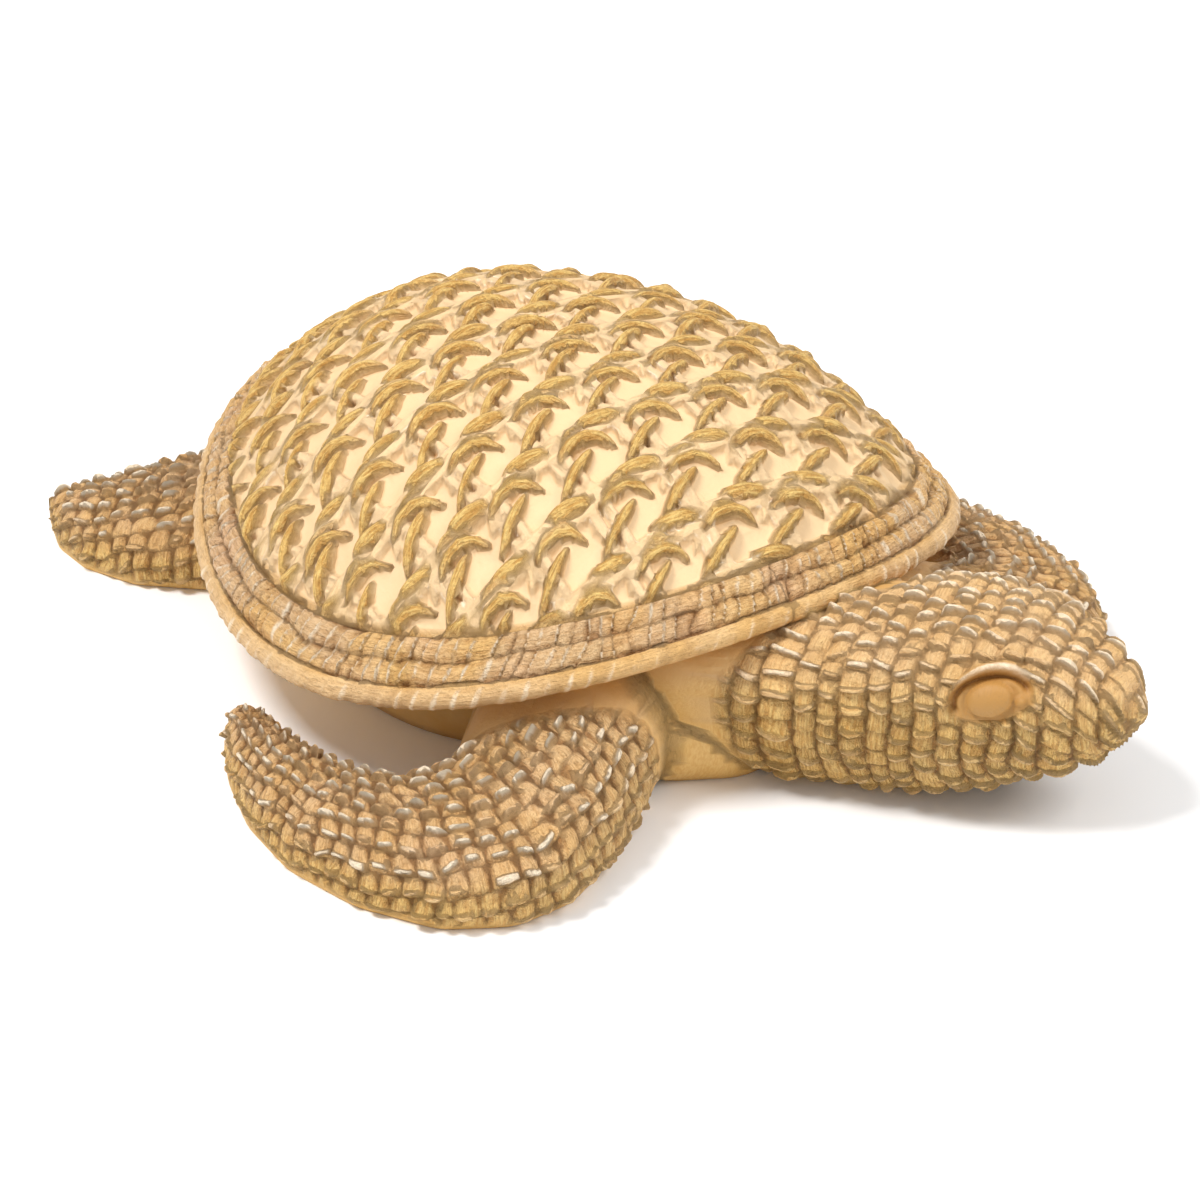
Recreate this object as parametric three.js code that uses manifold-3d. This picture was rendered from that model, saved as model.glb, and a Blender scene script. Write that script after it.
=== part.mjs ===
// Sea turtle statuette, one solid casting that rests on its belly and flippers.
// The shell is a low dome covered with open cane webbing and bordered by three plaited cords.
// Lengths are in millimetres: +X is the way the turtle faces, +Y its left side, +Z up.
import * as THREE from "three";
import { mergeVertices } from "three/addons/utils/BufferGeometryUtils.js";
import Module from "manifold-3d";

const wasm = await Module();
wasm.setup();

// Overall sizes of the turtle, its height taken to the crown without the cane on it;
// the shape is given below as shares of them
const LENGTH = 208.5;
const WIDTH = 173.5;
const HEIGHT = 59.9;

// Sizes of the shell, measured from the point under its crown
const SHELL_FRONT = 0.352 * LENGTH;
const SHELL_REAR = 0.337 * LENGTH;
const SHELL_HALF_WIDTH = 0.382 * WIDTH;
const SHELL_TAPER = 0.63 / LENGTH;
const OUTLINE_POWER = 2.03;
const DOME_HEIGHT = 0.499 * HEIGHT;
const DOME_SHOULDER = 3.15;
const REAR_SHOULDER = 2.15;
const DOME_ROUNDING = 1.09;
const EDGE_RISE = (0.138 * HEIGHT) / LENGTH;
const EDGE_LIFT_AT_ENDS = (0.3 * HEIGHT) / LENGTH ** 2;
const EDGE_DROOP_AT_SIDES = (0.95 * HEIGHT) / WIDTH ** 2;
const GROUND = -0.501 * HEIGHT;
const SOLE_CUT = 0.067 * HEIGHT;

// Border and underside; the starts and the belly are shares of the way out to the edge
const BORDER_START = 0.925;
const REAR_BORDER_START = 0.895;
const CORD_RELIEF = 1.3;
const LIP_REACH = 2.3;
const LIP_DEPTH = 3.6;
const BELLY_SHARE = 0.68;

// Sizes of the cane webbing
const MESH_ALONG = 12.7;
const MESH_ACROSS = 14.9;
const CROWN_MESH_ALONG = 0.81;
const CROWN_MESH_ACROSS = 0.99;
const STEPS_PER_MESH = 5;
const CANE_THICKNESS = 2;
const WEB_THICKNESS = 4;
const CROWN_DEPTH = 1.6;

const BORDER_STEPS = 64;

// Height of the webbing above the dome over one mesh, in fifths of the mesh and as shares
// of the cane's thickness. Rows follow one another along the shell and columns across it;
// a hole lies at the corners.
const CANE_RELIEF = [
  [-0.35, -0.2, 0.75, 0.9, -0.3],
  [-0.3, 0.9, 0.75, -0.1, -0.35],
  [0.9, 0.5, 0.2, 0.2, 0.85],
  [1, 0.8, 0.25, 0.8, 0.6],
  [-0.3, -0.1, 0.65, 0.85, 0.3],
];

// Shell surface

function planPoint(angle, share, outward = 0) {
  const c = Math.cos(angle);
  const s = Math.sin(angle);
  const along = Math.sign(c) * Math.abs(c) ** (2 / OUTLINE_POWER);
  const across = Math.sign(s) * Math.abs(s) ** (2 / OUTLINE_POWER);
  const reach = along > 0 ? SHELL_FRONT : SHELL_REAR;
  const x = along * (reach * share + outward);
  const y = across * (SHELL_HALF_WIDTH * (1 + SHELL_TAPER * x) * share + outward);
  return [x, y];
}

function shareAt(x, y) {
  const reach = x > 0 ? SHELL_FRONT : SHELL_REAR;
  const halfWidth = SHELL_HALF_WIDTH * (1 + SHELL_TAPER * x);
  const sum = Math.abs(x / reach) ** OUTLINE_POWER + Math.abs(y / halfWidth) ** OUTLINE_POWER;
  return sum ** (1 / OUTLINE_POWER);
}

function edgeHeight(x, y) {
  return EDGE_RISE * x + EDGE_LIFT_AT_ENDS * x * x - EDGE_DROOP_AT_SIDES * y * y;
}

// The crown falls away more gently toward the tail than over the neck and sides.
function domeHeight(x, y) {
  const share = Math.min(shareAt(x, y), 1);
  const rearward = Math.min(Math.max(-x / SHELL_REAR, 0), 1);
  const shoulder = THREE.MathUtils.lerp(DOME_SHOULDER, REAR_SHOULDER, rearward);
  return edgeHeight(x, y) + DOME_HEIGHT * (1 - share ** shoulder) ** DOME_ROUNDING;
}

function borderStart(angle) {
  const rearward = Math.max(-Math.cos(angle), 0);
  return THREE.MathUtils.lerp(BORDER_START, REAR_BORDER_START, rearward);
}

// Point at a given height above the dome, measured square to its surface.
function aboveDome(x, y, height) {
  const step = 0.5;
  const shrink = Math.min(1, 0.98 / Math.max(shareAt(x, y), 0.01));
  const [sx, sy] = [x * shrink, y * shrink];
  const slopeX = (domeHeight(sx + step, sy) - domeHeight(sx - step, sy)) / (2 * step);
  const slopeY = (domeHeight(sx, sy + step) - domeHeight(sx, sy - step)) / (2 * step);
  const normal = new THREE.Vector3(-slopeX, -slopeY, 1).normalize();
  const point = new THREE.Vector3(x, y, domeHeight(x, y)).addScaledVector(normal, height);
  return point.toArray();
}

// Closed solids, made from any geometry whose faces close up

function solidFrom(geometry) {
  geometry.deleteAttribute("normal");
  geometry.deleteAttribute("uv");
  const merged = mergeVertices(geometry, 1e-4);
  const corner = [0, 1, 2].map(() => new THREE.Vector3());
  const position = merged.getAttribute("position");
  let volume = 0;
  for (let i = 0; i < merged.index.count; i += 3) {
    corner.forEach((v, k) => v.fromBufferAttribute(position, merged.index.getX(i + k)));
    volume += corner[0].dot(corner[1].cross(corner[2])) / 6;
  }
  const order = new Uint32Array(merged.index.array);
  if (volume < 0) order.reverse();
  return new wasm.Manifold(
    new wasm.Mesh({ numProp: 3, vertProperties: position.array, triVerts: order }),
  );
}

function solidOf(points, faces) {
  const geometry = new THREE.BufferGeometry();
  geometry.setAttribute("position", new THREE.Float32BufferAttribute(points.flat(), 3));
  geometry.setIndex(faces.flat());
  return solidFrom(geometry);
}

// Closed skin over rings of equal count, drawn to a point at each end.
function loft(first, rings, last) {
  const count = rings[0].length;
  const points = [first, ...rings.flat(), last];
  const end = points.length - 1;
  const faces = [];
  for (let k = 0; k < count; k++) {
    const next = (k + 1) % count;
    faces.push([0, 1 + next, 1 + k]);
    for (let r = 0; r + 1 < rings.length; r++) {
      const near = 1 + r * count;
      const far = near + count;
      faces.push([near + k, near + next, far + k], [near + next, far + next, far + k]);
    }
    const base = end - count;
    faces.push([end, base + k, base + next]);
  }
  return solidOf(points, faces);
}

// Shell body: a smooth crown, the corded border, the lip and the belly under it

function shellBody() {
  const angles = [...Array(BORDER_STEPS).keys()].map((k) => (2 * Math.PI * k) / BORDER_STEPS);
  const crown = [0.35, 0.62, 0.8, 0.985];
  const cordCount = 2;
  const rings = crown.map((share) =>
    angles.map((angle) => aboveDome(...planPoint(angle, share * borderStart(angle)), -CROWN_DEPTH)),
  );
  for (let k = 0; k <= 2 * cordCount; k++) {
    const height = k % 2 === 0 ? 0 : CORD_RELIEF;
    rings.push(
      angles.map((angle) => {
        const share = THREE.MathUtils.lerp(borderStart(angle), 1, k / (2 * cordCount));
        return aboveDome(...planPoint(angle, share), height);
      }),
    );
  }
  const lip = [
    [1, 0.7, 0.05],
    [1, 1, -0.45],
    [1, 0.5, -1],
    [0.95, 0, -0.9],
    [0.86, 0, -1],
  ];
  for (const [share, outward, lift] of lip) {
    rings.push(
      angles.map((angle) => {
        const [x, y] = planPoint(angle, share, outward * LIP_REACH);
        return [x, y, edgeHeight(x, y) + lift * LIP_DEPTH];
      }),
    );
  }
  const belly = [
    [0.8, 0.22],
    [0.74, 0.6],
    [0.7, 0.9],
    [BELLY_SHARE, 1],
  ];
  for (const [share, drop] of belly) {
    rings.push(
      angles.map((angle) => {
        const [x, y] = planPoint(angle, share);
        const top = edgeHeight(x, y) - LIP_DEPTH;
        return [x, y, THREE.MathUtils.lerp(top, GROUND, drop)];
      }),
    );
  }
  return loft([0, 0, DOME_HEIGHT - CROWN_DEPTH], rings, [0, 0, GROUND]);
}

// Cane webbing: a sheet laid over the dome, its meshes counted along the curve of the shell

// Distance out from the middle at which a profile's curve reaches a given length.
function reachAlong(height, limit, length) {
  const steps = 80;
  const stride = (0.96 * limit) / steps;
  let walked = 0;
  let out = 0;
  for (let k = 0; k < steps; k++) {
    const rise = height(out + stride) - height(out);
    const piece = Math.hypot(stride, rise);
    if (walked + piece >= length) return out + (stride * (length - walked)) / piece;
    walked += piece;
    out += stride;
  }
  return out + (length - walked) * 0.7;
}

function columnAt(length) {
  const side = Math.sign(length) || 1;
  const limit = side > 0 ? SHELL_FRONT : SHELL_REAR;
  return side * reachAlong((x) => domeHeight(side * x, 0), limit, Math.abs(length));
}

function halfWidthAt(x) {
  const reach = x > 0 ? SHELL_FRONT : SHELL_REAR;
  const left = Math.max(1 - Math.abs(x / reach) ** OUTLINE_POWER, 0.02);
  return SHELL_HALF_WIDTH * (1 + SHELL_TAPER * x) * left ** (1 / OUTLINE_POWER);
}

function caneWebbing() {
  const stepsOver = (reach, mesh) => Math.ceil((1.18 * STEPS_PER_MESH * reach) / mesh);
  const along = {
    from: -stepsOver(SHELL_REAR, MESH_ALONG),
    to: stepsOver(SHELL_FRONT, MESH_ALONG),
  };
  const sideSteps = stepsOver(SHELL_HALF_WIDTH, MESH_ACROSS);
  const across = { from: -sideSteps, to: sideSteps };
  const top = [];
  const relief = [];
  for (let i = along.from; i <= along.to; i++) {
    const meshAlong = i / STEPS_PER_MESH;
    const x = columnAt((meshAlong - CROWN_MESH_ALONG + 1) * MESH_ALONG);
    const row = [];
    const heights = [];
    for (let j = across.from; j <= across.to; j++) {
      const meshAcross = (j + 0.5) / STEPS_PER_MESH;
      const length = (meshAcross - CROWN_MESH_ACROSS + 1) * MESH_ACROSS;
      const side = Math.sign(length) || 1;
      const y = side * reachAlong((v) => domeHeight(x, v), halfWidthAt(x), Math.abs(length));
      const wrap = (n) => ((n % STEPS_PER_MESH) + STEPS_PER_MESH) % STEPS_PER_MESH;
      const height = CANE_RELIEF[wrap(i)][wrap(j)] * CANE_THICKNESS;
      heights.push(height);
      row.push(aboveDome(x, y, height));
    }
    top.push(row);
    relief.push(heights);
  }
  const rows = top.length;
  const columns = top[0].length;
  const points = top.flat();
  const under = points.map(([x, y]) => [x, y, domeHeight(x, y) - WEB_THICKNESS]);
  const at = (i, j) => i * columns + j;
  const below = points.length;
  const faces = [];
  for (let i = 0; i + 1 < rows; i++) {
    for (let j = 0; j + 1 < columns; j++) {
      const [a, b, c, d] = [at(i, j), at(i + 1, j), at(i + 1, j + 1), at(i, j + 1)];
      const straight = relief[i][j] + relief[i + 1][j + 1];
      const slanted = relief[i + 1][j] + relief[i][j + 1];
      if (straight > slanted) faces.push([a, b, c], [a, c, d]);
      else faces.push([a, b, d], [b, c, d]);
      faces.push([below + a, below + d, below + c], [below + a, below + c, below + b]);
    }
  }
  const wall = (a, b) => faces.push([a, below + a, b], [b, below + a, below + b]);
  for (let i = 0; i + 1 < rows; i++) {
    wall(at(i, 0), at(i + 1, 0));
    wall(at(i + 1, columns - 1), at(i, columns - 1));
  }
  for (let j = 0; j + 1 < columns; j++) {
    wall(at(0, j + 1), at(0, j));
    wall(at(rows - 1, j), at(rows - 1, j + 1));
  }
  const sheet = solidOf([...points, ...under], faces);
  const outline = [];
  for (let k = 0; k < BORDER_STEPS; k++) {
    const angle = (2 * Math.PI * k) / BORDER_STEPS;
    outline.push(new THREE.Vector2(...planPoint(angle, borderStart(angle) + 0.012)));
  }
  const column = new THREE.ExtrudeGeometry(new THREE.Shape(outline), {
    depth: 2 * HEIGHT,
    bevelEnabled: false,
  });
  column.translate(0, 0, -HEIGHT);
  return sheet.intersect(solidFrom(column));
}

// Neck, head and chest: upright oval sections along a path, given as shares of the overall sizes

function atShare([x, y, z]) {
  return [x * LENGTH, y * WIDTH, z * HEIGHT];
}

function ovalSections(shares, sides, tipShare) {
  const tip = atShare(tipShare);
  const stations = shares.map(({ x, y, z, half, up, down }) => ({
    x: x * LENGTH,
    y: y * WIDTH,
    z: z * HEIGHT,
    half: half * WIDTH,
    up: up * HEIGHT,
    down: down * HEIGHT,
  }));
  const rings = stations.map((station, n) => {
    const before = stations[Math.max(n - 1, 0)];
    const after = stations[n + 1] ?? { x: tip[0], y: tip[1] };
    const heading = Math.atan2(after.y - before.y, after.x - before.x);
    return [...Array(sides).keys()].map((k) => {
      const angle = (2 * Math.PI * k) / sides;
      const c = Math.cos(angle);
      const s = Math.sin(angle);
      const sideways = Math.sign(c) * Math.abs(c) ** 0.85 * station.half;
      const upward = Math.sign(s) * Math.abs(s) ** 0.85 * (s > 0 ? station.up : station.down);
      return [
        station.x - sideways * Math.sin(heading),
        station.y + sideways * Math.cos(heading),
        station.z + upward,
      ];
    });
  });
  const { x, y, z } = stations[0];
  return loft([x, y, z], rings, tip);
}

const HEAD_SECTIONS = [
  { x: 0.173, y: 0, z: -0.2, half: 0.173, up: 0.2, down: 0.334 },
  { x: 0.259, y: 0.023, z: -0.184, half: 0.153, up: 0.2, down: 0.351 },
  { x: 0.336, y: 0.063, z: -0.167, half: 0.124, up: 0.217, down: 0.367 },
  { x: 0.408, y: 0.112, z: -0.142, half: 0.11, up: 0.242, down: 0.367 },
  { x: 0.46, y: 0.147, z: -0.117, half: 0.107, up: 0.25, down: 0.342 },
  { x: 0.504, y: 0.176, z: -0.1, half: 0.095, up: 0.217, down: 0.284 },
  { x: 0.54, y: 0.199, z: -0.109, half: 0.075, up: 0.175, down: 0.209 },
  { x: 0.566, y: 0.219, z: -0.125, half: 0.049, up: 0.125, down: 0.134 },
];
const BEAK_TIP = [0.588, 0.233, -0.134];

const CHEST_SECTIONS = [
  { x: 0.048, y: 0, z: -0.317, half: 0.219, up: 0.2, down: 0.25 },
  { x: 0.211, y: 0, z: -0.317, half: 0.207, up: 0.2, down: 0.25 },
  { x: 0.273, y: 0.006, z: -0.334, half: 0.161, up: 0.167, down: 0.234 },
  { x: 0.312, y: 0.017, z: -0.351, half: 0.104, up: 0.1, down: 0.2 },
];
const CHEST_TIP = [0.341, 0.029, -0.401];

// Eyes: a ball set in a raised lid on each cheek

const EYE_HALF_LENGTH = 0.026 * LENGTH;
const EYE_PLACE = [0.494, 0.167, -0.054];
const EYE_OUTWARD = 0.082 * WIDTH;

function eyes() {
  const heading = Math.atan2(1, 2);
  const [x, y, z] = atShare(EYE_PLACE);
  const parts = [];
  for (const side of [-1, 1]) {
    const place = (along, outward, height) => [
      x + along * Math.cos(heading) - side * outward * Math.sin(heading),
      y + along * Math.sin(heading) + side * outward * Math.cos(heading),
      z + height,
    ];
    const oval = (length, depth, height) =>
      new THREE.SphereGeometry(EYE_HALF_LENGTH, 16, 10)
        .scale(length, depth, height)
        .rotateZ(heading);
    const lid = oval(1, 0.48, 0.74).translate(...place(0, EYE_OUTWARD, 0));
    const ballOut = EYE_OUTWARD + 0.26 * EYE_HALF_LENGTH;
    const ball = oval(0.63, 0.44, 0.48).translate(
      ...place(0.07 * EYE_HALF_LENGTH, ballOut, -0.18 * EYE_HALF_LENGTH),
    );
    parts.push(solidFrom(lid), solidFrom(ball));
  }
  return wasm.Manifold.union(parts);
}

// Flippers: blades ruled between a leading and a trailing edge, with a rounded top

function blade(shares, tipShare, side, shiftShare = [0, 0]) {
  const sides = 14;
  const sized = ([x, y]) => [x * LENGTH, y * WIDTH];
  const stations = shares.map(({ lead, trail, top }) => ({
    lead: sized(lead),
    trail: sized(trail),
    top: top * HEIGHT,
  }));
  const tip = atShare(tipShare);
  const shift = sized(shiftShare);
  const rings = stations.map(({ lead, trail, top }) =>
    [...Array(sides).keys()].map((k) => {
      const angle = (2 * Math.PI * k) / sides;
      const c = Math.cos(angle);
      const s = Math.sin(angle);
      const share = 0.5 + 0.5 * Math.sign(c) * Math.abs(c) ** 0.85;
      const bottom = GROUND - SOLE_CUT;
      const middle = bottom + 0.45 * (top - bottom);
      const reach = s > 0 ? top - middle : middle - bottom;
      return [
        THREE.MathUtils.lerp(trail[0], lead[0], share) + shift[0],
        side * (THREE.MathUtils.lerp(trail[1], lead[1], share) + shift[1]),
        middle + Math.sign(s) * Math.abs(s) ** 0.85 * reach,
      ];
    }),
  );
  const root = stations[0];
  const start = [
    (root.lead[0] + root.trail[0]) / 2 + shift[0],
    side * ((root.lead[1] + root.trail[1]) / 2 + shift[1]),
    (root.top + GROUND) / 2,
  ];
  return loft(start, rings, [tip[0] + shift[0], side * (tip[1] + shift[1]), tip[2]]);
}

const FRONT_FLIPPER = [
  { lead: [0.297, 0.081], trail: [0.115, 0.15], top: -0.083 },
  { lead: [0.345, 0.161], trail: [0.163, 0.219], top: -0.083 },
  { lead: [0.391, 0.239], trail: [0.201, 0.271], top: -0.134 },
  { lead: [0.42, 0.317], trail: [0.225, 0.305], top: -0.184 },
  { lead: [0.417, 0.386], trail: [0.233, 0.334], top: -0.225 },
  { lead: [0.381, 0.45], trail: [0.221, 0.36], top: -0.259 },
  { lead: [0.312, 0.493], trail: [0.192, 0.378], top: -0.284 },
  { lead: [0.23, 0.51], trail: [0.149, 0.389], top: -0.309 },
  { lead: [0.153, 0.499], trail: [0.106, 0.392], top: -0.326 },
  { lead: [0.086, 0.47], trail: [0.062, 0.389], top: -0.342 },
  { lead: [0.038, 0.438], trail: [0.031, 0.389], top: -0.367 },
];
const FRONT_TIP = [0.012, 0.409, -0.434];
const LEFT_FLIPPER_SHIFT = [-0.017, -0.02];

const REAR_FLIPPER = [
  { lead: [-0.096, 0.138], trail: [-0.211, 0.012], top: -0.167 },
  { lead: [-0.192, 0.277], trail: [-0.331, 0.092], top: -0.209 },
  { lead: [-0.249, 0.337], trail: [-0.369, 0.173], top: -0.275 },
  { lead: [-0.307, 0.36], trail: [-0.381, 0.231], top: -0.309 },
  { lead: [-0.355, 0.357], trail: [-0.393, 0.277], top: -0.342 },
  { lead: [-0.391, 0.34], trail: [-0.405, 0.305], top: -0.384 },
];
const REAR_TIP = [-0.412, 0.329, -0.434];

// The casting: everything joined, cut flat underneath and stood on the origin

const parts = [
  shellBody(),
  caneWebbing(),
  ovalSections(HEAD_SECTIONS, 20, BEAK_TIP),
  ovalSections(CHEST_SECTIONS, 20, CHEST_TIP),
  eyes(),
  blade(FRONT_FLIPPER, FRONT_TIP, -1),
  blade(FRONT_FLIPPER, FRONT_TIP, 1, LEFT_FLIPPER_SHIFT),
  blade(REAR_FLIPPER, REAR_TIP, -1),
  blade(REAR_FLIPPER, REAR_TIP, 1),
];
const casting = wasm.Manifold.union(parts).trimByPlane([0, 0, 1], GROUND);

function meshOf(manifold, name, material) {
  const data = manifold.getMesh();
  const geometry = new THREE.BufferGeometry();
  geometry.setAttribute("position", new THREE.BufferAttribute(data.vertProperties, 3));
  geometry.setIndex(new THREE.BufferAttribute(data.triVerts, 1));
  const mesh = new THREE.Mesh(geometry, material);
  mesh.name = name;
  return mesh;
}

const resin = new THREE.MeshStandardMaterial({ color: 0xd9b578, roughness: 0.75, metalness: 0 });
const turtle = new THREE.Group();
const mesh = meshOf(casting, "turtle_casting", resin);
const middle = new THREE.Box3().setFromObject(mesh).getCenter(new THREE.Vector3());
mesh.position.set(-middle.x, -middle.y, -GROUND);
turtle.add(mesh);

export default turtle;
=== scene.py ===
# %% [markdown]
# Sea turtle statuette in cast resin, painted to look like woven cane and straw.
# The real thing comes out of one mould, so the visual model is one closed mesh too.
# It keeps the plain solid's form and adds the fine relief: cane, cords, weave and eyes.

# %% The frame from model.glb
import math
import bpy
import numpy as np
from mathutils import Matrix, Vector


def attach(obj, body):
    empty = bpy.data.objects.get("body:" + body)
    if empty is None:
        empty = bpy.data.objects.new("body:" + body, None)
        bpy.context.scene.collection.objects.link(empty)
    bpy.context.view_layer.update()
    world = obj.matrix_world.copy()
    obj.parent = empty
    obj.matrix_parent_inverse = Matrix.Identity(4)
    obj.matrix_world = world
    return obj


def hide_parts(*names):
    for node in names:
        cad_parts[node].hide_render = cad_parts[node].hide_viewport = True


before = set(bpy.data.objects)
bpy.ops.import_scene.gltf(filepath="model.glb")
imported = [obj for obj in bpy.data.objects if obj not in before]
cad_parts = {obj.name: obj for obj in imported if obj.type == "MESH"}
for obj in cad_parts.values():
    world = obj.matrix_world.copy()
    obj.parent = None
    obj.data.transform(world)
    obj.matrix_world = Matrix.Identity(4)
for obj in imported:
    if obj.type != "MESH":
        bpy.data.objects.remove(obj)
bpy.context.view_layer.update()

# %% [markdown]
# The camera stands where the photographer stood: to the turtle's right and in front,
# looking down by thirty degrees through a long lens, which keeps the shell from swelling.
# It could be turned by hand until the outlines agree, but angles worked out from the
# shell's oval stay put. It comes first, so that every later step can be looked at.

# %% Camera
CAMERA_PLACE = Vector((0.58205, -0.42695, 0.4259))
TURN, TILT = math.radians(53.62), math.radians(29.9)
LENS, SENSOR = 135, 36

camera_data = bpy.data.cameras.new("camera")
camera_data.lens, camera_data.sensor_width = LENS, SENSOR
camera_data.clip_start, camera_data.clip_end = 0.05, 20
camera = bpy.data.objects.new("camera", camera_data)
level = math.cos(TILT)
backward = Vector((math.sin(TURN) * level, -math.cos(TURN) * level, math.sin(TILT)))
camera.location = CAMERA_PLACE
camera.rotation_mode = "QUATERNION"
camera.rotation_quaternion = (-backward).to_track_quat("-Z", "Y")
bpy.context.scene.collection.objects.link(camera)
bpy.context.scene.camera = camera
print("camera", round(CAMERA_PLACE.length, 3), "m from the middle of the base")

# %% [markdown]
# All shapes below are worked out in millimetres from the point under the shell's crown,
# +X the way the turtle faces, +Y its left, +Z up. One function moves them onto the frame
# and turns them into metres. The other helpers give soft steps, rounded bumps and steady
# randomness, because nothing on a hand-woven model repeats exactly. The randomness is a
# formula of the place, not a dice roll, so the turtle comes out the same every time.

# %% From millimetres to the frame
LENGTH, WIDTH, HEIGHT = 208.5, 173.5, 59.9
GROUND = -0.501 * HEIGHT
CROWN_TO_ORIGIN = np.array([18.35, -1.735, GROUND])
METRES = 0.001
HASH_STEPS, HASH_SIZE = (127.1, 311.7, 74.7), 43758.5453


def to_frame(points):
    """Points in shell millimetres, shifted onto the frame's origin and given in metres."""
    return (np.asarray(points, float) - CROWN_TO_ORIGIN) * METRES


def smooth_step(low, high, value):
    """0 at low, 1 at high, and an S-shaped change between them, whichever is larger."""
    t = np.clip((value - low) / (high - low), 0, 1)
    return t * t * (3 - 2 * t)


def scatter(a, b, salt=0):
    """A steady number from 0 to 1 for each pair of whole numbers: the decimals of a sine."""
    mixed = np.sin(a * HASH_STEPS[0] + b * HASH_STEPS[1] + salt * HASH_STEPS[2]) * HASH_SIZE
    return mixed - np.floor(mixed)


def speckle(points, size, salt=0):
    """Soft noise from 0 to 1: steady numbers at the corners of cells of size mm, blended."""
    scaled = points / size
    cell = np.floor(scaled)
    part = scaled - cell
    part = part * part * (3 - 2 * part)
    total = 0
    for corner in range(2 ** points.shape[-1]):
        weight, key = 1.0, salt * 17.3
        for axis in range(points.shape[-1]):
            step = (corner >> axis) & 1
            side = part[..., axis]
            weight = weight * (side if step else 1 - side)
            key = key + (cell[..., axis] + step) * HASH_STEPS[axis]
        value = np.sin(key) * HASH_SIZE
        total = total + weight * (value - np.floor(value))
    return total


def dome_arc(value, half):
    """A round bump: 1 in the middle and 0 at a distance of half, like the top of a circle."""
    return np.sqrt(np.clip(1 - (value / half) ** 2, 0, 1))


def powered(value, power):
    """A power of a number's size, with the number's sign."""
    return np.sign(value) * np.abs(value) ** power


print("ground at", round(GROUND, 2), "mm under the shell's middle")

# %% [markdown]
# Every part of the casting is a skin over rings of points: rings run round the part,
# and the rings follow each other from one pole to the other. Relief is added square to
# the skin. It could be sculpted, or come from a Displace modifier and a texture, but a
# formula at each point also knows what the point is: straw, thread or ground. So along
# with its height each point carries painted marks, which the material reads later: wash
# (white dry-brush, on the limbs faded on downward faces as painted light), gold (raised
# straw, and on the limbs' downward faces painted shade), dark (brown wash in the
# recesses, with painted shade on the head's lower side, beside the neck, under the rim
# and in the eyes), cream (bare ground of the cane, and on the head's top painted light),
# bare (no fibres, and on the head's top fewer streaks as painted light), rose (pinkish
# brown, on the limbs faded on downward faces as painted light), and the way the fibres run.

# %% Skins over rings
MARKS = ("wash", "gold", "dark", "cream", "bare", "rose")


def ring_normals(rings):
    """Unit cross product of the two grid directions; who calls it turns it outwards."""
    round_way = np.roll(rings, -1, axis=1) - np.roll(rings, 1, axis=1)
    along_way = np.gradient(rings, axis=0)
    normal = np.cross(round_way, along_way)
    length = np.linalg.norm(normal, axis=2, keepdims=True)
    return normal / np.maximum(length, 1e-9)


def girths(rings):
    """Length walked round each ring up to each point, and the whole way round."""
    step = np.linalg.norm(np.roll(rings, -1, axis=1) - rings, axis=2)
    return np.cumsum(step, axis=1) - step, step.sum(axis=1, keepdims=True)


def skin_object(name, start, rings, end, marks, grain):
    """Closed mesh over rings (m, n, 3) with a pole point at each end, faces outwards."""
    m, n, _ = rings.shape
    points = np.vstack([[start], rings.reshape(-1, 3), [end]])
    row = np.arange(m - 1)[:, None] * n + 1
    k = np.arange(n)[None, :]
    after = (k + 1) % n
    quads = np.stack([row + k, row + after, row + n + after, row + n + k], axis=2).reshape(-1, 4)
    ring, base = k[0], 1 + (m - 1) * n
    first = np.stack([np.zeros(n, int), 1 + after[0], 1 + ring], axis=1)
    last = np.stack([np.full(n, len(points) - 1), base + ring, base + after[0]], axis=1)
    a, b, c = (points[quads[:, i]] for i in (0, 1, 2))
    faces = [quads, first, last]
    if np.einsum("ij,ij->i", a, np.cross(b, c)).sum() < 0:
        faces = [f[:, ::-1] for f in faces]
    mesh = bpy.data.meshes.new(name)
    loops = np.concatenate([f.ravel() for f in faces])
    sizes = np.concatenate([np.full(len(f), f.shape[1]) for f in faces])
    mesh.vertices.add(len(points))
    mesh.vertices.foreach_set("co", to_frame(points).astype(np.float32).ravel())
    mesh.loops.add(len(loops))
    mesh.loops.foreach_set("vertex_index", loops.astype(np.int32))
    mesh.polygons.add(len(sizes))
    mesh.polygons.foreach_set("loop_start", (np.cumsum(sizes) - sizes).astype(np.int32))
    mesh.update(calc_edges=True)
    for label in MARKS:
        value = np.broadcast_to(marks.get(label, 0.0), (m, n))
        value = np.concatenate([[value[0, 0]], value.ravel(), [value[-1, 0]]])
        layer = mesh.attributes.new(label, "FLOAT", "POINT")
        layer.data.foreach_set("value", value.astype(np.float32))
    run = np.vstack([[grain[0, 0]], grain.reshape(-1, 3), [grain[-1, 0]]])
    layer = mesh.attributes.new("grain", "FLOAT_VECTOR", "POINT")
    layer.data.foreach_set("vector", run.astype(np.float32).ravel())
    made = bpy.data.objects.new(name, mesh)
    bpy.context.scene.collection.objects.link(made)
    print(name, len(points), "points")
    return made


print("each point carries", len(MARKS), "marks")

# %% [markdown]
# The shell is a low dome on an egg-like outline. Its height is a function of how far out
# a point lies, as a share of the way to the edge, so one formula gives the whole dome,
# and the edge itself rises at the ends and droops at the sides. A squashed sphere would be
# quicker, but its edge is level and its tail as round as its front.

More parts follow.
